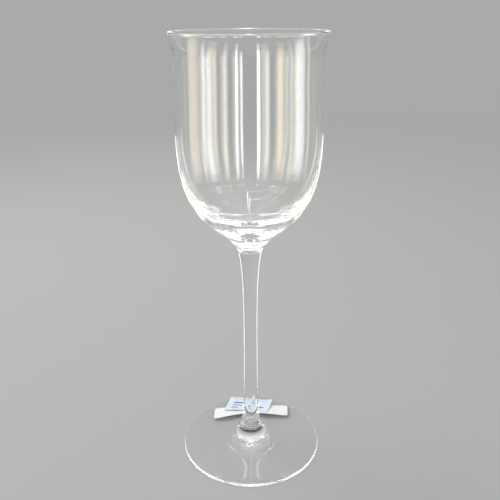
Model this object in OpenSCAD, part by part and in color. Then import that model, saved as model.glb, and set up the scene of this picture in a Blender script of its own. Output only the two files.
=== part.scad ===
// Stemmed wine glass: a blown bell-shaped bowl, a drawn stem and a low conical foot,
// fused one on top of the other, with two blank paper stickers on the back of the foot.
// Sizes are millimetres. The origin is the middle of the underside of the foot, with +Z up
// and +Y towards the back, where the stickers are.

/* [Foot] */
// Diameter of the foot
foot_d = 72; // [62:1:90]
// Thickness of the foot's rounded edge
foot_edge_t = 1.6; // [1.2:0.1:2.4]
// Slope of the foot's upper face at the edge, in degrees
foot_slope = 7; // [5:0.5:10]
// How far the straight part of the upper face runs in from the edge
foot_run = 20; // [14:1:24]
// Height of the boss that carries the stem
boss_h = 12; // [10:0.5:16]
// Width of the rounded ledge of the boss around the end of the stem
boss_ledge = 0.8; // [0.5:0.1:1.5]
// Height of the hollow sweep from the upper face to the ledge
boss_sweep = 6; // [4:0.5:7]
// Width of the flat ring that stands on the table
rest_ring_w = 4; // [2:0.5:6]
// Depth of the shallow hollow under the foot
hollow_h = 1.2; // [0.6:0.1:2]

/* [Stem] */
// Length of the stem between its two fused seats
stem_l = 99; // [70:1:130]
// Diameter at the lower end, on the boss
stem_base_d = 10.8; // [9:0.2:13]
// Diameter at the thinnest place
stem_waist_d = 6.8; // [5:0.2:8.4]
// Height of the thinnest place above the lower end
stem_waist_h = 56; // [35:1:60]
// Diameter at the upper end, under the bowl
stem_top_d = 11.2; // [9:0.2:13]
// Lean of the stem's side where it meets the bowl, in degrees from upright
stem_top_lean = 12; // [8:1:16]
// Rise of the domed seats in which the pieces are fused
seat_rise = 0.6; // [0.3:0.1:1]

/* [Bowl] */
// Height of the bowl from the stem to the rim
bowl_h = 99; // [88:1:125]
// Diameter at the widest place of the belly
bowl_d = 65.4; // [60:0.2:72]
// Height of the widest place above the stem
bowl_widest_h = 56; // [48:1:64]
// Diameter of the upright wall below the flared lip
throat_d = 64; // [60:0.2:68]
// Height of the flared lip
lip_h = 13; // [10:0.5:18]
// Outside diameter of the rim
rim_d = 68.6; // [66:0.2:76]
// Lean of the lip at the rim, in degrees from upright
lip_lean = 24; // [16:1:36]
// Thickness of the rounded bead round the rim
rim_t = 1.8; // [1.2:0.1:2.4]
// Thickness of the blown wall
wall_t = 1; // [0.7:0.1:1.6]
// Thickness of the glass in the middle of the base, above the stem
base_t = 12; // [9:0.5:14]
// Height of the edge of the dished bottom above its middle
base_dish_h = 0.85; // [0.45:0.1:1.85]
// Radius at which the belly springs from the base
base_r = 10.6; // [9.6:0.2:12]
// Height at which the belly springs from the base
base_spring_h = 7.1; // [6:0.1:8]
// Lean of the belly's side where it springs from the base, in degrees from upright
base_lean = 50; // [44:1:56]

/* [Stickers] */
// Length of the white paper strip
white_l = 42.2; // [24:0.2:46]
// Width of the white paper strip
white_w = 10.3; // [8:0.1:12]
// Slant of the strip's cut ends, in degrees
white_skew = 6; // [-10:1:10]
// Turn of the strip about the upright axis, in degrees
white_turn = 3.5; // [-8:0.5:8]
// Distance from the edge of the foot in to the middle of the strip
white_inset = 15.8; // [12:0.2:17]
// Length of the pale blue label
blue_l = 25; // [18:0.5:30]
// Width of the pale blue label
blue_w = 14; // [9:0.5:15]
// Slant of the label's cut ends, in degrees
blue_skew = 4.5; // [-10:0.5:10]
// Turn of the label about the upright axis, in degrees
blue_turn = -11.5; // [-14:0.5:8]
// Distance from the edge of the foot in to the middle of the label
blue_inset = 11.1; // [9.5:0.1:16]
// Distance of the label's middle from the middle of the strip, sideways
blue_shift = -1.5; // [-4:0.5:4]
// Radius of the stickers' corners
sticker_corner_r = 1.2; // [0.4:0.1:2]
// Thickness of the white paper
white_t = 0.14; // [0.08:0.01:0.3]
// Thickness of the pale blue paper
blue_t = 0.12; // [0.08:0.01:0.3]

/* [Hidden] */
$fn = 96;

// Steps along a long curve, a short curve, and a seat, bead or corner
long_steps = 32;
short_steps = 12;
round_steps = 8;

// Clear glass seen against a dark ground, and the two papers
glass_colour = [0.86, 0.9, 0.91, 0.45];
white_colour = [0.97, 0.97, 0.98];
blue_colour = [0.8, 0.87, 0.95];

foot_r = foot_d / 2;
stem_base_r = stem_base_d / 2;
stem_waist_r = stem_waist_d / 2;
stem_top_r = stem_top_d / 2;
bowl_r = bowl_d / 2;
throat_r = throat_d / 2;
throat_h = bowl_h - lip_h;
bowl_z = boss_h + stem_l;

// Lengths of the handles that give the curves their fullness
boss_flare = 0.7;
stem_base_pull = 4;
stem_top_pull = 5.4;
base_low_pull = 1.8;
base_high_pull = 3.9;
belly_pull = 17.5;
belly_drop = 30;
wall_pull = 12;
neck_pull = 4.7;
lip_pull = 6;

// Unit vector that leans outwards from upright, and the one square to it that points out
function along(lean) = [sin(lean), cos(lean)];
function outwards(lean) = [cos(lean), -sin(lean)];

// A curve is its start, its two handles and its end
function point_on(curve, t) =
    let (u = 1 - t)
    u * u * u * curve[0] + 3 * u * u * t * curve[1] + 3 * u * t * t * curve[2] + t * t * t * curve[3];

function direction_on(curve, t) =
    let (u = 1 - t,
         d = u * u * (curve[1] - curve[0])
             + 2 * u * t * (curve[2] - curve[1])
             + t * t * (curve[3] - curve[2]))
    d / norm(d);

function points_on(curve, steps) = [for (i = [0 : steps]) point_on(curve, i / steps)];

// Points of a circular arc about a centre, between two angles
function arc(centre, r, from, to, steps) =
    [for (i = [0 : steps])
        let (a = from + (to - from) * i / steps)
        centre + r * [cos(a), sin(a)]];

function reversed(points) = [for (i = [len(points) - 1 : -1 : 0]) points[i]];

// All points but the first, so that curves joined end to end repeat no point
function tail(points) = [for (i = [1 : len(points) - 1]) points[i]];

function lifted(points, h) = [for (p = points) p + [0, h]];

// Domed seat of radius r whose edge lies at height z and whose middle is lower by seat_rise
function seat(r, z) =
    let (ball_r = (r * r + seat_rise * seat_rise) / (2 * seat_rise))
    arc([0, z - seat_rise + ball_r], ball_r, -90, asin(r / ball_r) - 90, round_steps);

// Upper face of the foot, from its rounded edge in and up to the ledge of the boss
edge_r = foot_edge_t / 2;
edge_centre = [foot_r - edge_r, edge_r];
boss_side = [stem_base_r + boss_ledge, boss_h - boss_ledge];
foot_face_start = edge_centre + edge_r * along(foot_slope);
foot_face = points_on([foot_face_start,
                       foot_face_start - foot_run * outwards(foot_slope),
                       boss_side + [boss_flare, -boss_sweep],
                       boss_side], long_steps);

// Half section of the foot, from the middle of its hollow underside round to the seat
ring_r = edge_centre.x - rest_ring_w;
hollow = [[0, hollow_h], [ring_r / 2, hollow_h], [ring_r * 3 / 4, 0], [ring_r, 0]];
foot_outline = concat(
    points_on(hollow, short_steps),
    arc(edge_centre, edge_r, -90, 90 - foot_slope, round_steps),
    tail(foot_face),
    tail(arc(boss_side - [boss_ledge, 0], boss_ledge, 0, 90, round_steps)),
    tail(reversed(seat(stem_base_r, boss_h))));

// Half section of the stem above its lower end
stem_base = [stem_base_r, 0];
stem_waist = [stem_waist_r, stem_waist_h];
stem_top = [stem_top_r, stem_l];
stem_outline = concat(
    seat(stem_base_r, 0),
    tail(points_on([stem_base, stem_base + [-boss_ledge, stem_base_pull],
                    [stem_waist_r, 0], stem_waist], long_steps)),
    tail(points_on([stem_waist, (stem_waist + 2 * [stem_waist_r, stem_l]) / 3,
                    stem_top - stem_top_pull * along(stem_top_lean), stem_top], long_steps)),
    tail(reversed(seat(stem_top_r, stem_l))));

// Outside of the bowl above the stem: the base flares out to the belly, which runs up to its
// widest place
spring = [base_r, base_spring_h];
widest = [bowl_r, bowl_widest_h];
base_flare = [[stem_top_r, 0], [stem_top_r, 0] + base_low_pull * along(stem_top_lean),
              spring - base_high_pull * along(base_lean), spring];
belly = [spring, spring + belly_pull * along(base_lean), widest - [0, belly_drop], widest];

// Bead round the rim
bead_r = rim_t / 2;
bead = [rim_d / 2 - bead_r, bowl_h - bead_r];

// Upright wall and flared lip at a depth below the outside, ending on one side of the bead
function wall_and_lip(depth, end) =
    let (low = widest - [depth, 0], neck = [throat_r - depth, throat_h])
    concat(points_on([low, low + [0, wall_pull], neck - [0, wall_pull], neck], short_steps),
           tail(points_on([neck, neck + [0, neck_pull], end - lip_pull * along(lip_lean), end],
                          short_steps)));

// Inside of the belly, where the glass thins evenly from the edge of the dished bottom to the
// blown wall
spring_t = (base_t + base_dish_h - base_spring_h) / sin(base_lean);
inside_belly =
    [for (i = [0 : long_steps])
        let (t = i / long_steps, d = direction_on(belly, t))
        point_on(belly, t) - (wall_t + (spring_t - wall_t) * (1 - t) * (1 - t)) * [d.y, -d.x]];

// Dished bottom of the inside, which runs on from the belly without a crease
dish_start = inside_belly[0];
dish_slope = inside_belly[1] - dish_start;
dish_bottom = [0, base_t];
dish_corner = [dish_start.x - (dish_start.y - base_t) * dish_slope.x / dish_slope.y, base_t];
dish = [dish_bottom, (dish_bottom + 2 * dish_corner) / 3, (dish_start + 2 * dish_corner) / 3, dish_start];

// Half section of the bowl: the seat, the outside up, the bead, and the inside down
bowl_outline = concat(
    seat(stem_top_r, 0),
    tail(points_on(base_flare, short_steps)),
    tail(points_on(belly, long_steps)),
    tail(wall_and_lip(0, bead + bead_r * outwards(lip_lean))),
    tail(arc(bead, bead_r, -lip_lean, 180 - lip_lean, round_steps)),
    tail(reversed(wall_and_lip(wall_t, bead - bead_r * outwards(lip_lean)))),
    tail(reversed(inside_belly)),
    tail(reversed(points_on(dish, short_steps))));

// Rectangle with round corners, whose short sides are cut on a slant
function sticker_outline(l, w, skew) =
    let (half = [l, w] / 2 - [1, 1] * sticker_corner_r, signs = [[1, 1], [-1, 1], [-1, -1], [1, -1]])
    [for (k = [0 : 3])
        let (c = [signs[k].x * half.x, signs[k].y * half.y])
        for (p = arc(c, sticker_corner_r, 90 * k, 90 * k + 90, round_steps))
            p + [p.y * tan(skew), 0]];

// Turns a flat outline and moves it to its place on the foot
function placed(points, turn, at) =
    [for (p = points)
        at + [p.x * cos(turn) - p.y * sin(turn), p.x * sin(turn) + p.y * cos(turn)]];

white_outline = placed(sticker_outline(white_l, white_w, white_skew),
                       white_turn, [0, foot_r - white_inset]);
blue_outline = placed(sticker_outline(blue_l, blue_w, blue_skew),
                      blue_turn, [blue_shift, foot_r - blue_inset]);

// Paper of thickness t that follows the foot's upper face at a height above it
module paper_on_foot(outline, lift, t) {
    intersection() {
        rotate_extrude()
            polygon(concat(lifted(foot_face, lift), reversed(lifted(foot_face, lift + t))));
        linear_extrude(height = boss_h)
            polygon(outline);
    }
}

module bowl() {
    color(glass_colour)
        translate([0, 0, bowl_z])
            rotate_extrude()
                polygon(bowl_outline);
}

module stem() {
    color(glass_colour)
        translate([0, 0, boss_h])
            rotate_extrude()
                polygon(stem_outline);
}

module foot() {
    color(glass_colour)
        rotate_extrude()
            polygon(foot_outline);
}

module white_sticker() {
    color(white_colour)
        paper_on_foot(white_outline, 0, white_t);
}

module blue_sticker() {
    color(blue_colour)
        paper_on_foot(blue_outline, white_t, blue_t);
}

bowl();
stem();
foot();
white_sticker();
blue_sticker();
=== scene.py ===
"""A clear stemmed wine glass with two paper stickers on its foot.

Outlines are drawn in millimetres, as half sections of (radius, height), and turned into
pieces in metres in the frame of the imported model.
"""

import math

import bpy
from mathutils import Matrix, Vector


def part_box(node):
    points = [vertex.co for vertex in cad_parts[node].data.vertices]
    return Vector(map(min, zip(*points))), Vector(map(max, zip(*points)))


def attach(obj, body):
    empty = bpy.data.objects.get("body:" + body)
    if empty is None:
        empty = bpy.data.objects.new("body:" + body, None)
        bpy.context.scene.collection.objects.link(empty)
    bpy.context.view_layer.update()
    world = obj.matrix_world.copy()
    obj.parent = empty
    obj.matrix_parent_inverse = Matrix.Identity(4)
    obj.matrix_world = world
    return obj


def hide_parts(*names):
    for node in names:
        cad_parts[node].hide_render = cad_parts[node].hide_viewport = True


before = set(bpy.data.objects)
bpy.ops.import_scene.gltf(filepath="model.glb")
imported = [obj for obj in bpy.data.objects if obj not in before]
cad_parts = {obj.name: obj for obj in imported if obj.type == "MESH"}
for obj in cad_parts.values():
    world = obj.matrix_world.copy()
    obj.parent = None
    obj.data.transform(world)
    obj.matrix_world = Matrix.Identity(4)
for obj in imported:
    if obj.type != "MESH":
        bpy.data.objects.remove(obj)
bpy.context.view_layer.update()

MM = 0.001

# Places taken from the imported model, in millimetres
FOOT_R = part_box("foot")[1].x / MM
BOSS_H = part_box("foot")[1].z / MM
STEM_TOP_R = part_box("stem")[1].x / MM
BOWL_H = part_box("bowl")[1].z / MM
RIM_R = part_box("bowl")[1].x / MM

# Glass, in millimetres and degrees
SEAT_RISE = 0.6
SEAT_GAP = 0.02
SEAT_TOLERANCE = 0.05
WELD_GAP = 0.001
BOWL_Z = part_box("bowl")[0].z / MM + SEAT_RISE
STEM_L = BOWL_Z - BOSS_H
STEM_BASE_R = 5.4
STEM_WAIST_R = 3.4
STEM_WAIST_H = 56
STEM_TOP_LEAN = 12
BELLY_R = 32.7
BELLY_H = 56
THROAT_R = 32
LIP_H = 13
LIP_LEAN = 24
BEAD_R = 0.9
WALL_T = 1
BASE_T = 12
BASE_DISH_H = 0.85
SPRING = Vector((10.6, 7.1))
SPRING_LEAN = 50
SPRING_T = (BASE_T + BASE_DISH_H - SPRING.y) / math.sin(math.radians(SPRING_LEAN))
FOOT_EDGE_R = 0.8
FOOT_SLOPE = 7
FOOT_RUN = 20
BOSS_LEDGE = 0.8
BOSS_FLARE = 0.7
BOSS_SWEEP = 6
REST_RING_W = 4
HOLLOW_H = 1.2

# Lengths of the handles that give the curves their fullness, in millimetres
STEM_BASE_PULL = 4
STEM_TOP_PULL = 5.4
BASE_LOW_PULL = 1.8
BASE_HIGH_PULL = 3.9
BELLY_PULL = 17.5
BELLY_DROP = 30
WALL_PULL = 12
NECK_PULL = 4.7
LIP_PULL = 6

# Steps along the curves, and round each piece
SEAT_STEPS = 10
BEAD_STEPS = 16
DISH_STEPS = 20
SHORT_STEPS = 30
HOLLOW_STEPS = 40
INSIDE_STEPS = 80
LONG_STEPS = 90
BELLY_STEPS = 100
BOWL_TURNS = 192
STEM_TURNS = 96
FOOT_TURNS = 256

# Faint rings left by the tools: height above the seam, depth and half width
BOWL_RINGS = ((0.5, -0.2, 0.35), (1.7, 0.15, 0.5), (4.2, 0.15, 0.7), (7.6, -0.18, 0.9), (12.8, 0.15, 1.1),
              (16.4, -0.12, 1.0), (20.2, 0.15, 1.0), (24.2, -0.15, 0.9), (27.2, 0.12, 0.8))
STEM_RINGS = ((0.4, -0.06, 0.35), (3.0, 0.03, 0.8), (96.4, 0.05, 0.5), (98.4, -0.06, 0.35))


def along(lean):
    """Unit vector that leans outwards from upright."""
    return Vector((math.sin(math.radians(lean)), math.cos(math.radians(lean))))


def outwards(lean):
    """Unit vector square to along(lean), pointing out."""
    return Vector((math.cos(math.radians(lean)), -math.sin(math.radians(lean))))


def curve_point(curve, t):
    """Point of a curve that is given by its start, its two handles and its end."""
    a, b, c, d = curve
    u = 1 - t
    return u**3 * a + 3 * u * u * t * b + 3 * u * t * t * c + t**3 * d


def curve_normal(curve, t):
    """Unit vector to the right of the curve's direction."""
    a, b, c, d = curve
    u = 1 - t
    way = (u * u * (b - a) + 2 * u * t * (c - b) + t * t * (d - c)).normalized()
    return Vector((way.y, -way.x))


def curve_points(curve, steps):
    return [curve_point(curve, i / steps) for i in range(steps + 1)]


def arc(centre, radius, start, end, steps):
    """Points of a circle between two angles."""
    angles = [math.radians(start + (end - start) * i / steps) for i in range(steps + 1)]
    return [centre + radius * Vector((math.cos(a), math.sin(a))) for a in angles]


def joined(*runs):
    """One outline from runs that each start where the last one ends."""
    points = list(runs[0])
    for run in runs[1:]:
        points += run[1:]
    return points


def seat_ball(radius):
    """Radius of the ball that a domed seat is a part of."""
    return (radius**2 + SEAT_RISE**2) / (2 * SEAT_RISE)


def seat(radius, height):
    """Domed seat, from the axis out to its edge at a height."""
    ball_r = seat_ball(radius)
    edge = math.degrees(math.asin(radius / ball_r)) - 90
    return arc(Vector((0, height - SEAT_RISE + ball_r)), ball_r, -90, edge, SEAT_STEPS)


def ringed(points, rings):
    """The points of a run, moved in or out by faint rings, with both ends kept."""
    moved = [points[0]]
    for before, here, after in zip(points, points[1:], points[2:]):
        way = (after - before).normalized()
        depth = sum(d * math.exp(-(((here.y - h) / w) ** 2)) for h, d, w in rings)
        moved.append(here + depth * Vector((way.y, -way.x)))
    return moved + [points[-1]]


def bowl_outline():
    """Seat, outside up, bead, and inside down, above the seam with the stem."""
    height = BOWL_H - BOWL_Z
    widest = Vector((BELLY_R, BELLY_H))
    low = Vector((STEM_TOP_R, 0))
    flare = [low, low + BASE_LOW_PULL * along(STEM_TOP_LEAN),
             SPRING - BASE_HIGH_PULL * along(SPRING_LEAN), SPRING]
    belly = [SPRING, SPRING + BELLY_PULL * along(SPRING_LEAN), widest - Vector((0, BELLY_DROP)), widest]
    bead = Vector((RIM_R - BEAD_R, height - BEAD_R))

    def wall_and_lip(depth, end):
        """Upright wall and lip at a depth below the outside, ending on one side of the bead."""
        waist = widest - Vector((depth, 0))
        neck = Vector((THROAT_R - depth, height - LIP_H))
        wall = [waist, waist + Vector((0, WALL_PULL)), neck - Vector((0, WALL_PULL)), neck]
        lip = [neck, neck + Vector((0, NECK_PULL)), end - LIP_PULL * along(LIP_LEAN), end]
        return joined(curve_points(wall, SHORT_STEPS), curve_points(lip, SHORT_STEPS))

    inside = []
    for i in range(INSIDE_STEPS + 1):
        t = i / INSIDE_STEPS
        thickness = WALL_T + (SPRING_T - WALL_T) * (1 - t) ** 2
        inside.append(curve_point(belly, t) - thickness * curve_normal(belly, t))
    start, slope = inside[0], inside[1] - inside[0]
    bottom = Vector((0, BASE_T))
    corner = Vector((start.x - (start.y - BASE_T) * slope.x / slope.y, BASE_T))
    dish = [bottom, (bottom + 2 * corner) / 3, (start + 2 * corner) / 3, start]

    outside = joined(curve_points(flare, SHORT_STEPS), curve_points(belly, BELLY_STEPS))
    return joined(
        seat(STEM_TOP_R, 0),
        ringed(outside, BOWL_RINGS),
        wall_and_lip(0, bead + BEAD_R * outwards(LIP_LEAN)),
        arc(bead, BEAD_R, -LIP_LEAN, 180 - LIP_LEAN, BEAD_STEPS),
        wall_and_lip(WALL_T, bead - BEAD_R * outwards(LIP_LEAN))[::-1],
        inside[::-1],
        curve_points(dish, DISH_STEPS)[::-1],
    )


def stem_outline():
    """Lower seat, side up, and upper seat, above the seam with the foot.

    The seats stay just clear of the next pieces, so that each face is met by itself.
    """
    base = Vector((STEM_BASE_R, 0))
    waist = Vector((STEM_WAIST_R, STEM_WAIST_H))
    top = Vector((STEM_TOP_R, STEM_L))
    lower = [base, base + Vector((-BOSS_LEDGE, STEM_BASE_PULL)), Vector((STEM_WAIST_R, 0)), waist]
    upper = [waist, (waist + 2 * Vector((STEM_WAIST_R, STEM_L))) / 3,
             top - STEM_TOP_PULL * along(STEM_TOP_LEAN), top]
    side = joined(curve_points(lower, LONG_STEPS), curve_points(upper, LONG_STEPS))
    return joined(
        seat(STEM_BASE_R, SEAT_GAP),
        ringed(side, STEM_RINGS),
        seat(STEM_TOP_R, STEM_L - SEAT_GAP)[::-1],
    )


def foot_face():
    """Upper face of the foot, from its rounded edge up to the ledge of the boss."""
    start = Vector((FOOT_R - FOOT_EDGE_R, FOOT_EDGE_R)) + FOOT_EDGE_R * along(FOOT_SLOPE)
    side = Vector((STEM_BASE_R + BOSS_LEDGE, BOSS_H - BOSS_LEDGE))
    face = [start, start - FOOT_RUN * outwards(FOOT_SLOPE), side + Vector((BOSS_FLARE, -BOSS_SWEEP)), side]
    return curve_points(face, LONG_STEPS)


def foot_outline():
    """Hollow underside, rest ring, edge, upper face, ledge and seat."""
    edge = Vector((FOOT_R - FOOT_EDGE_R, FOOT_EDGE_R))
    ring_r = edge.x - REST_RING_W
    hollow = [Vector((0, HOLLOW_H)), Vector((ring_r / 2, HOLLOW_H)), Vector((ring_r * 3 / 4, 0)),
              Vector((ring_r, 0))]
    ledge = Vector((STEM_BASE_R, BOSS_H - BOSS_LEDGE))
    return joined(
        curve_points(hollow, HOLLOW_STEPS),
        [Vector((ring_r, 0))] + arc(edge, FOOT_EDGE_R, -90, 90 - FOOT_SLOPE, BEAD_STEPS),
        foot_face(),
        arc(ledge, BOSS_LEDGE, 0, 90, SEAT_STEPS),
        seat(STEM_BASE_R, BOSS_H)[::-1],
    )


def lathe(name, outline, base, turns):
    """A closed piece: the outline is drawn point by point and spun about the axis."""
    points = [Vector((p.x, 0, p.y + base)) * MM for p in outline]
    bpy.ops.object.select_all(action="DESELECT")
    bpy.ops.mesh.primitive_plane_add(size=MM, enter_editmode=True)
    bpy.ops.mesh.select_all(action="SELECT")
    bpy.ops.mesh.merge(type="CENTER")
    bpy.ops.transform.translate(value=points[0])
    for here, after in zip(points, points[1:]):
        bpy.ops.mesh.extrude_vertices_move(TRANSFORM_OT_translate={"value": after - here})
    bpy.ops.mesh.select_all(action="SELECT")
    bpy.ops.mesh.spin(steps=turns, angle=2 * math.pi, center=(0, 0, 0), axis=(0, 0, 1))
    bpy.ops.mesh.select_all(action="SELECT")
    bpy.ops.mesh.remove_doubles(threshold=WELD_GAP * MM)
    bpy.ops.mesh.normals_make_consistent(inside=False)
    bpy.ops.object.mode_set(mode="OBJECT")
    bpy.ops.object.shade_smooth()
    piece = bpy.context.object
    piece.name = name
    return piece


# Stickers, in millimetres and degrees: size, place of the middle and turn on the foot
STICKER_CORNER_R = 1.2
WHITE_L = 42.2
WHITE_W = 10.3
WHITE_T = 0.14
WHITE_TURN = 3.5
WHITE_SKEW = 6
WHITE_INSET = 15.8
WHITE_MIDDLE = Vector((0, FOOT_R - WHITE_INSET))
BLUE_L = 25
BLUE_W = 14
BLUE_T = 0.12
BLUE_TURN = -11.5
BLUE_SKEW = 4.5
BLUE_INSET = 11.1
BLUE_SHIFT = -1.5
BLUE_MIDDLE = Vector((BLUE_SHIFT, FOOT_R - BLUE_INSET))
STICKER_CELL = 0.5
STICKER_CREASE = 40

# How far the stickers stand off what they lie on, and the length of the curl, in millimetres
WHITE_GAP = 0.02
WHITE_ARCH = 0.85
BLUE_GAP = 0.06
BLUE_SLACK = 0.12
BLUE_ARCH = 0.95
BLUE_BACK = 1.1
BLUE_CURL = 1.4
BLUE_CURL_L = 7

# How far the arches reach, as shares of half a sticker's length, and the waves of the slack in radians
WHITE_ARCH_REACH = 0.85
BLUE_ARCH_REACH = 1.3
SLACK_PER_MM = 0.35
SLACK_START = 0.6


def face_height(radius):
    """Height of the foot's upper face at a distance from the axis, level past its edge."""
    points = foot_face()
    for outer, inner in zip(points, points[1:]):
        if radius > inner.x:
            share = min(1, (radius - inner.x) / (outer.x - inner.x))
            return inner.y + share * (outer.y - inner.y)
    return points[-1].y


def round_corner(flat, half):
    """Draws a point of a rectangle in where it lies in one of the corner squares."""
    over = Vector(max(0, abs(flat[i]) - half[i] + STICKER_CORNER_R) for i in (0, 1))
    if over.x == 0 or over.y == 0:
        return flat
    reach = over.normalized() * max(over)
    return Vector(math.copysign(half[i] - STICKER_CORNER_R + reach[i], flat[i]) for i in (0, 1))


def arch(flat, half, reach):
    """Runs from 1 in the middle of a sticker's length to 0 at a share of half of it."""
    return max(0, 1 - (flat.x / (reach * half.x)) ** 2)


def white_lift(flat, half):
    """The strip's front edge stands off the foot where the boss begins to rise."""
    front = max(0, 0.5 - 0.5 * flat.y / half.y)
    return WHITE_GAP + WHITE_ARCH * front * arch(flat, half, WHITE_ARCH_REACH)


def blue_lift(flat, half):
    """The label lies on the strip, its back edge stands off, and its back right corner curls up."""
    back = 0.5 + 0.5 * flat.y / half.y
    curl = max(0, (flat.x - half.x + BLUE_CURL_L) / BLUE_CURL_L) ** 2
    slack = BLUE_SLACK * math.sin(flat.x * SLACK_PER_MM + SLACK_START) ** 2
    front = BLUE_ARCH * (1 - back) * arch(flat, half, BLUE_ARCH_REACH)
    return WHITE_T + BLUE_GAP + slack + front + BLUE_BACK * back**2 + BLUE_CURL * curl * back


def sticker(name, length, width, thickness, turn, skew, middle, lift):
    """A sheet of paper laid on the foot: a grid, drawn round at its corners, then thickened."""
    half = Vector((length, width)) / 2
    bpy.ops.object.select_all(action="DESELECT")
    bpy.ops.mesh.primitive_grid_add(
        x_subdivisions=round(length / STICKER_CELL), y_subdivisions=round(width / STICKER_CELL), size=2)
    piece = bpy.context.object
    piece.name = name
    for v in piece.data.vertices:
        flat = round_corner(Vector((v.co.x * half.x, v.co.y * half.y)), half)
        cut = Vector((flat.x + flat.y * math.tan(math.radians(skew)), flat.y))
        spot = middle + Matrix.Rotation(math.radians(turn), 2) @ cut
        v.co = Vector((spot.x, spot.y, face_height(spot.length) + lift(flat, half))) * MM
    shell = piece.modifiers.new("paper", "SOLIDIFY")
    shell.thickness = thickness * MM
    shell.offset = 1
    shell.use_even_offset = True
    bpy.ops.object.modifier_apply(modifier=shell.name)
    bpy.ops.object.shade_smooth_by_angle(angle=math.radians(STICKER_CREASE))
    return piece


class Value:
    """A socket in a finish, on which sums are written as plain expressions."""

    def __init__(self, finish, socket):
        self.finish = finish
        self.socket = socket

    def sum(self, operation, first, second):
        return self.finish.node("ShaderNodeMath", {"operation": operation}, {0: first, 1: second})

    def __add__(self, other):
        return self.sum("ADD", self, other)

    __radd__ = __add__

    def __sub__(self, other):
        return self.sum("SUBTRACT", self, other)

    def __rsub__(self, other):
        return self.sum("SUBTRACT", other, self)

    def __mul__(self, other):
        return self.sum("MULTIPLY", self, other)

    __rmul__ = __mul__

    def __pow__(self, other):
        return self.sum("POWER", self, other)

    def __gt__(self, other):
        return self.sum("GREATER_THAN", self, other)

    def __lt__(self, other):
        return self.sum("LESS_THAN", self, other)


class Finish:
    """A material, a lamp or the world, whose nodes are added one by one."""

    def __init__(self, owner):
        owner.use_nodes = True
        self.owner = owner
        self.tree = owner.node_tree
        self.tree.nodes.clear()

    def node(self, kind, settings=None, sockets=None, out=0):
        """Adds a node, with its settings first and then its sockets' values or links."""
        made = self.tree.nodes.new(kind)
        for key, value in (settings or {}).items():
            setattr(made, key, value)
        for key, value in (sockets or {}).items():
            if isinstance(value, Value):
                self.tree.links.new(value.socket, made.inputs[key])
            else:
                made.inputs[key].default_value = value
        return Value(self, made.outputs[out]) if made.outputs else None

    def mix(self, share, first, second):
        """A mix of two colours."""
        return self.node("ShaderNodeMix", {"data_type": "RGBA"}, {"Factor": share, 6: first, 7: second}, 2)

    def noise(self, place, scale, detail=2.0, roughness=0.5):
        return self.node("ShaderNodeTexNoise", {}, {
            "Vector": place, "Scale": scale, "Detail": detail, "Roughness": roughness})

    def ramp(self, value, low, high):
        """Runs smoothly from 0 at low to 1 at high."""
        return self.node("ShaderNodeMapRange", {"interpolation_type": "SMOOTHSTEP"}, {
            "Value": value, "From Min": low, "From Max": high})


def object_place(finish):
    """Place on the piece, in metres, that its patterns are drawn in."""
    return finish.node("ShaderNodeTexCoord", {}, {}, "Object")


# Glass: how it bends light, its colour, how rough it is clean and smudged, and its faint waves
GLASS_IOR = 1.52
GLASS_COLOUR = (0.975, 0.985, 0.98, 1)
GLASS_POLISH = 0.004
GLASS_SMUDGE = 0.03
WAVE_DEPTH = 0.0006
WAVE_STRENGTH = 0.03

# Shadow of the glass: what one face lets through, and how much its edges hold back
SHADOW_COLOUR = (0.955, 0.965, 0.965, 1)
SHADOW_EDGE = 0.75


def clear_glass():
    """Clear glass with faint smudges and waves, which lets lamps through to the floor."""
    finish = Finish(bpy.data.materials.new("fire_polished_glass"))
    place = object_place(finish)
    smudge = finish.ramp(finish.noise(place, scale=38, detail=3), low=0.52, high=0.78)
    wave = finish.noise(place, scale=45, detail=1)
    bump = finish.node("ShaderNodeBump", {}, {
        "Strength": WAVE_STRENGTH, "Distance": WAVE_DEPTH, "Height": wave})
    clear = finish.node("ShaderNodeBsdfPrincipled", {}, {
        "Base Color": GLASS_COLOUR, "Roughness": GLASS_POLISH + smudge * GLASS_SMUDGE, "IOR": GLASS_IOR,
        "Transmission Weight": 1.0, "Normal": bump})
    edge = finish.node("ShaderNodeLayerWeight", {}, {"Blend": 0.5}, "Facing")
    lamp_ray = finish.node("ShaderNodeLightPath", {}, {}, "Is Shadow Ray")
    soft_ray = finish.node("ShaderNodeLightPath", {}, {}, "Is Diffuse Ray")
    through = finish.node("ShaderNodeBsdfTransparent", {}, {"Color": SHADOW_COLOUR})
    share = soft_ray + lamp_ray * (1 - SHADOW_EDGE * edge ** 3)
    surface = finish.node("ShaderNodeMixShader", {}, {0: share, 1: clear, 2: through})
    finish.node("ShaderNodeOutputMaterial", {}, {"Surface": surface})
    return finish.owner


def fused_seam():
    """Where two pieces of glass are one: nothing shows, and light runs straight on."""
    finish = Finish(bpy.data.materials.new("fused_seam"))
    surface = finish.node("ShaderNodeBsdfPrincipled", {}, {"Alpha": 0.0})
    finish.node("ShaderNodeOutputMaterial", {}, {"Surface": surface})
    return finish.owner


# Papers: darker and lighter shade, the ink and its bleed as a share of the label, and the fibres
WHITE_SHADES = ((0.91, 0.91, 0.92, 1), (0.96, 0.96, 0.96, 1))
BLUE_SHADES = ((0.73, 0.82, 0.91, 1), (0.79, 0.87, 0.94, 1))
INK = (0.03, 0.05, 0.30, 1)
INK_BLEED = 0.02
FIBRE_ROUGHNESS = 0.2
FIBRE_DEPTH = 0.00003


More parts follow.
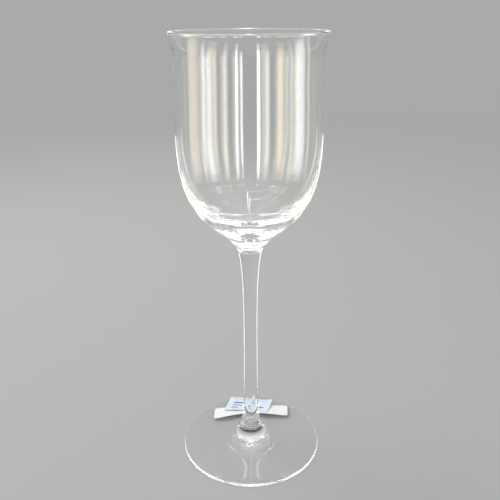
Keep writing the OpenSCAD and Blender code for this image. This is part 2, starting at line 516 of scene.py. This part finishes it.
def paper_surface(finish, place, colour, smoothest, strength):
    """Paper with fine fibres, which is as rough as smoothest says or rougher."""
    fibre = finish.noise(place, scale=2600, detail=4, roughness=0.65)
    bump = finish.node("ShaderNodeBump", {}, {
        "Strength": strength, "Distance": FIBRE_DEPTH, "Height": fibre})
    surface = finish.node("ShaderNodeBsdfPrincipled", {}, {
        "Base Color": colour, "Roughness": smoothest + fibre * FIBRE_ROUGHNESS, "Normal": bump})
    finish.node("ShaderNodeOutputMaterial", {}, {"Surface": surface})


def white_paper():
    """Plain white paper, faintly mottled."""
    finish = Finish(bpy.data.materials.new("white_paper"))
    place = object_place(finish)
    mottle = finish.noise(place, scale=240, detail=3)
    colour = finish.mix(finish.ramp(mottle, low=0.35, high=0.7), *WHITE_SHADES)
    paper_surface(finish, place, colour, smoothest=0.55, strength=0.25)
    return finish.owner


# Plain ruled bars of the label: left, right, bottom and top, as shares of its length and width
LABEL_BARS = ((0.08, 0.92, 0.87, 0.89), (0.14, 0.46, 0.56, 0.64), (0.14, 0.36, 0.38, 0.44),
              (0.14, 0.30, 0.20, 0.26), (0.62, 0.86, 0.36, 0.44), (0.62, 0.80, 0.20, 0.26))


def blue_paper():
    """Pale blue paper, faintly mottled, printed with plain bars whose edges bleed."""
    finish = Finish(bpy.data.materials.new("blue_paper"))
    place = object_place(finish)
    flat = finish.node("ShaderNodeUVMap")
    across = finish.node("ShaderNodeSeparateXYZ", {}, {"Vector": flat}, "X")
    up = finish.node("ShaderNodeSeparateXYZ", {}, {"Vector": flat}, "Y")
    bleed = (finish.noise(place, scale=1800) - 0.5) * INK_BLEED
    x = across + bleed
    y = up + bleed
    ink = 0
    for left, right, bottom, top in LABEL_BARS:
        ink = (x > left) * (x < right) * (y > bottom) * (y < top) + ink
    mottle = finish.noise(place, scale=300, detail=3)
    paper = finish.mix(finish.ramp(mottle, low=0.35, high=0.7), *BLUE_SHADES)
    colour = finish.mix(ink * (0.7 + mottle * 0.4), paper, INK)
    paper_surface(finish, place, colour, smoothest=0.42, strength=0.2)
    return finish.owner


def on_seat(spot, radius, height):
    """True for a point, in metres, on the domed seat whose edge lies at a height."""
    ball_r = seat_ball(radius)
    out = math.hypot(spot.x, spot.y) / MM
    dome = height - SEAT_RISE + ball_r - math.sqrt(max(0, ball_r**2 - out**2))
    return out < radius and abs(spot.z / MM - dome) < SEAT_TOLERANCE


def dress_glass(piece, node, seats, glass, seam):
    """Gives a piece of glass its finish, with clear faces where it is fused to the next."""
    piece.data.materials.append(glass)
    piece.data.materials.append(seam)
    for face in piece.data.polygons:
        if any(on_seat(face.center, *place) for place in seats):
            face.material_index = 1
    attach(piece, "root")
    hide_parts(node)


def dress_paper(piece, node, paper):
    """Gives a sticker its paper."""
    piece.data.materials.append(paper)
    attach(piece, "root")
    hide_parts(node)


# Seats where the pieces of glass are fused: radius and height of the edge
lower_seat = (STEM_BASE_R, BOSS_H)
upper_seat = (STEM_TOP_R, BOWL_Z)
glass, seam = clear_glass(), fused_seam()
bowl = lathe("blown_bowl", bowl_outline(), BOWL_Z, BOWL_TURNS)
stem = lathe("drawn_stem", stem_outline(), BOSS_H, STEM_TURNS)
foot = lathe("spun_foot", foot_outline(), 0, FOOT_TURNS)
dress_glass(bowl, "bowl", [upper_seat], glass, seam)
dress_glass(stem, "stem", [lower_seat, upper_seat], glass, seam)
dress_glass(foot, "foot", [lower_seat], glass, seam)
white = sticker("paper_strip", WHITE_L, WHITE_W, WHITE_T, WHITE_TURN, WHITE_SKEW, WHITE_MIDDLE, white_lift)
blue = sticker("paper_label", BLUE_L, BLUE_W, BLUE_T, BLUE_TURN, BLUE_SKEW, BLUE_MIDDLE, blue_lift)
dress_paper(white, "white_sticker", white_paper())
dress_paper(blue, "blue_sticker", blue_paper())

# Stage: colours, and in metres the floor's radius, its drop and where it runs into the backdrop
BACKDROP = (0.40, 0.40, 0.40, 1)
CEILING = (0.85, 0.85, 0.85, 1)
FLOOR_COLOUR = (0.47, 0.47, 0.465, 1)
FLOOR_R = 5
FLOOR_DROP = 0.0002
FLOOR_FADE_START = 0.25
FLOOR_FADE_END = 1.3

# Camera, in metres and degrees, with its lens and sensor in millimetres
EYE = Vector((0, -0.26606, 0.21943))
PITCH = 22.077
ROLL = -0.376
LENS = 43.26
SENSOR = 36
NEAREST = 0.01

# Streaks in the bowl: from and to, as shares of its half width in the camera's view, brightness and colour
STREAKS = (
    (-0.82, -0.67, 3.0, (1.0, 0.84, 0.60)),
    (-0.655, -0.59, 3.8, (1.0, 0.97, 0.93)),
    (-0.575, -0.43, 3.4, (1.0, 0.84, 0.58)),
    (-0.35, -0.28, 3.4, (0.95, 1.0, 0.97)),
    (-0.187, -0.146, 8, (1.0, 1.0, 1.0)),
    (0.103, 0.155, 9, (1.0, 1.0, 1.0)),
    (0.155, 0.29, 3.2, (1.0, 0.93, 0.84)),
    (0.38, 0.49, 3.6, (1.0, 0.72, 0.45)),
    (0.527, 0.598, 2.2, (0.9, 1.0, 0.85)),
    (0.613, 0.757, 5.0, (0.97, 0.99, 1.0)),
    (0.774, 0.817, 2.0, (1.0, 0.8, 0.6)),
)

# Places of the streaks and the overhead tubes, in metres, and the tubes' brightness
STREAK_RING_R = 0.32
STREAK_H = 0.3
TUBE_H = 1.1
TUBE_RADIANCE = 30

# How a lamp fades to its edges: a lower power keeps more of it bright
FADE_ACROSS = 0.6
FADE_ALONG = 0.4

# How often light may bounce in the glass
BOUNCES = 96
CLEAR_BOUNCES = 32


def floor():
    """A pale round floor, just under the foot, that runs into the backdrop far out."""
    bpy.ops.object.select_all(action="DESELECT")
    bpy.ops.mesh.primitive_circle_add(
        vertices=96, radius=FLOOR_R, fill_type="NGON", location=(0, 0, -FLOOR_DROP))
    ground = bpy.context.object
    ground.name = "floor"
    finish = Finish(bpy.data.materials.new("pale_floor"))
    place = object_place(finish)
    far = finish.node("ShaderNodeVectorMath", {"operation": "LENGTH"}, {0: place}, "Value")
    lit = finish.node("ShaderNodeBsdfDiffuse", {}, {"Color": FLOOR_COLOUR})
    glow = finish.node("ShaderNodeEmission", {}, {"Color": BACKDROP})
    share = finish.ramp(far, FLOOR_FADE_START, FLOOR_FADE_END)
    surface = finish.node("ShaderNodeMixShader", {}, {0: share, 1: lit, 2: glow})
    finish.node("ShaderNodeOutputMaterial", {}, {"Surface": surface})
    ground.data.materials.append(finish.owner)


def backdrop():
    """A grey studio with a paler ceiling."""
    world = bpy.data.worlds.new("pale_studio")
    bpy.context.scene.world = world
    finish = Finish(world)
    way = finish.node("ShaderNodeTexCoord", {}, {}, "Generated")
    up = finish.node("ShaderNodeSeparateXYZ", {}, {"Vector": way}, "Z")
    colour = finish.mix(finish.ramp(up, low=0.15, high=0.95), BACKDROP, CEILING)
    light = finish.node("ShaderNodeBackground", {}, {"Color": colour, "Strength": 1.0})
    finish.node("ShaderNodeOutputWorld", {}, {"Surface": light})


def softbox(name, spot, aim, width, height, radiance, colour=(1, 1, 1)):
    """An area lamp of a given brightness, which the camera itself doesn't see."""
    bpy.ops.object.light_add(type="AREA", location=spot)
    lamp = bpy.context.object
    lamp.name = name
    lamp.rotation_mode = "QUATERNION"
    lamp.rotation_quaternion = (Vector(aim) - Vector(spot)).to_track_quat("-Z", "Y")
    lamp.data.shape = "RECTANGLE"
    lamp.data.size = width
    lamp.data.size_y = height
    lamp.data.energy = radiance * math.pi * width * height
    lamp.data.color = colour
    lamp.visible_camera = False
    return lamp


def gleam(name, pieces, spot, aim, width, height, radiance, colour=(1, 1, 1), mirrorings=1):
    """A lamp that fades to its edges, and shows only in some pieces, after a number of mirrorings."""
    lamp = softbox(name, spot, aim, width, height, radiance, colour)
    lamp.visible_diffuse = False
    lamp.light_linking.receiver_collection = bpy.data.collections.new(name)
    for piece in pieces:
        lamp.light_linking.receiver_collection.objects.link(piece)
    finish = Finish(lamp.data)
    flat = finish.node("ShaderNodeNewGeometry", {}, {}, "Parametric")
    across = finish.node("ShaderNodeSeparateXYZ", {}, {"Vector": flat}, "X")
    along_it = finish.node("ShaderNodeSeparateXYZ", {}, {"Vector": flat}, "Y")
    fade = (4 * across * (1 - across)) ** FADE_ACROSS * (4 * along_it * (1 - along_it)) ** FADE_ALONG
    shown = finish.node("ShaderNodeLightPath", {}, {}, "Glossy Depth") > mirrorings - 0.5
    light = finish.node("ShaderNodeEmission", {}, {"Strength": fade * shown})
    finish.node("ShaderNodeOutputLight", {}, {"Surface": light})
    return lamp


def ceiling_tube(x, y, width, length):
    """A thin lamp overhead that faces down, for the bowl."""
    gleam("ceiling_tube", [bowl], (x, y, TUBE_H), (x, y, 0), width, length, TUBE_RADIANCE)


def panel(name, piece, turn, distance, bottom, width, height, radiance, mirrorings=1):
    """An upright lamp that faces the glass, turned about it from the front, for one piece."""
    a = math.radians(turn)
    middle = bottom + height / 2
    spot = (math.sin(a) * distance, -math.cos(a) * distance, middle)
    return gleam(name, [piece], spot, (0, 0, middle), width, height, radiance, mirrorings=mirrorings)


def on_ring(start, way, radius, side):
    """Where a line in plan meets a ring about the axis: first for side -1, last for side 1."""
    middle = start.dot(way)
    return start + way * (side * math.sqrt(middle**2 - start.dot(start) + radius**2) - middle)


def mirrored(share):
    """Where the bowl, at a share of its half width, shows the camera the ring of streaks, in plan."""
    eye = EYE.xy
    belly_r = BELLY_R * MM
    turn = math.atan(share * math.tan(math.asin(belly_r / eye.length)))
    way = Vector((math.sin(turn), math.cos(turn)))
    spot = on_ring(eye, way, belly_r, -1)
    return on_ring(spot, way.reflect(spot.normalized()), STREAK_RING_R, 1)


def streak(left, right, radiance, colour):
    """A low lamp that the bowl mirrors to the camera between two shares of its half width."""
    start, end = mirrored(left), mirrored(right)
    spot = ((start + end) / 2).to_3d() + Vector((0, 0, STREAK_H / 2))
    gleam("streak", [bowl], spot, (0, 0, STREAK_H / 2), (end - start).length, STREAK_H, radiance, colour)


def camera():
    """The photograph's viewing angle."""
    bpy.ops.object.camera_add()
    view = bpy.context.object
    view.name = "camera"
    view.data.sensor_width = SENSOR
    view.data.lens = LENS
    view.data.clip_start = NEAREST
    view.matrix_world = (
        Matrix.Translation(EYE)
        @ Matrix.Rotation(math.radians(90 - PITCH), 4, "X")
        @ Matrix.Rotation(math.radians(ROLL), 4, "Z"))
    bpy.context.scene.camera = view


# The studio and the key lamp light the floor and papers, and the other lamps only show in the glass
floor()
backdrop()
key = softbox("key", spot=(-0.45, 0.30, 1.0), aim=(0, 0, 0.1), width=0.5, height=0.5, radiance=6)
key.visible_glossy = False
key.visible_transmission = False
ceiling_tube(x=0.05, y=0.02, width=0.03, length=0.45)
for y in (-0.16, 0.12, 0.45):
    ceiling_tube(x=-0.42, y=y, width=0.85, length=0.02)
gleam("stem_tube", [bowl, stem], spot=(0, 0.45, 1.0), aim=(0, 0, 0), width=0.035, height=0.9, radiance=60)
gleam("base_glow", [bowl], spot=(0, 0, 0.7), aim=(0, 0, 0.1), width=0.9, height=0.9, radiance=3,
      mirrorings=2)
for place in STREAKS:
    streak(*place)
for side in (-1, 1):
    panel("edge", bowl, side * 158, distance=0.30, bottom=0, width=0.07, height=0.11, radiance=2.5)
    panel("stem_rod", stem, side * 140, distance=0.05, bottom=0, width=0.03, height=0.11, radiance=4)
for turn in (135, 180, 225):
    halo = panel("halo", bowl, turn, distance=0.40, bottom=0.215, width=0.30, height=0.08, radiance=2)
    halo.visible_transmission = False
for turn in range(0, 360, 45):
    panel("foot_edge", foot, turn, distance=0.25, bottom=0, width=0.18, height=0.05, radiance=8,
          mirrorings=2)
for turn in (-140, -105, -70, 70, 105, 140):
    panel("foot_rim", foot, turn, distance=0.25, bottom=0.08, width=0.16, height=0.20, radiance=2,
          mirrorings=3)
camera()

scene = bpy.context.scene
scene.view_settings.view_transform = "Standard"
scene.cycles.max_bounces = BOUNCES
scene.cycles.glossy_bounces = BOUNCES
scene.cycles.transmission_bounces = BOUNCES
scene.cycles.transparent_max_bounces = CLEAR_BOUNCES
scene.cycles.caustics_reflective = False
scene.cycles.caustics_refractive = False
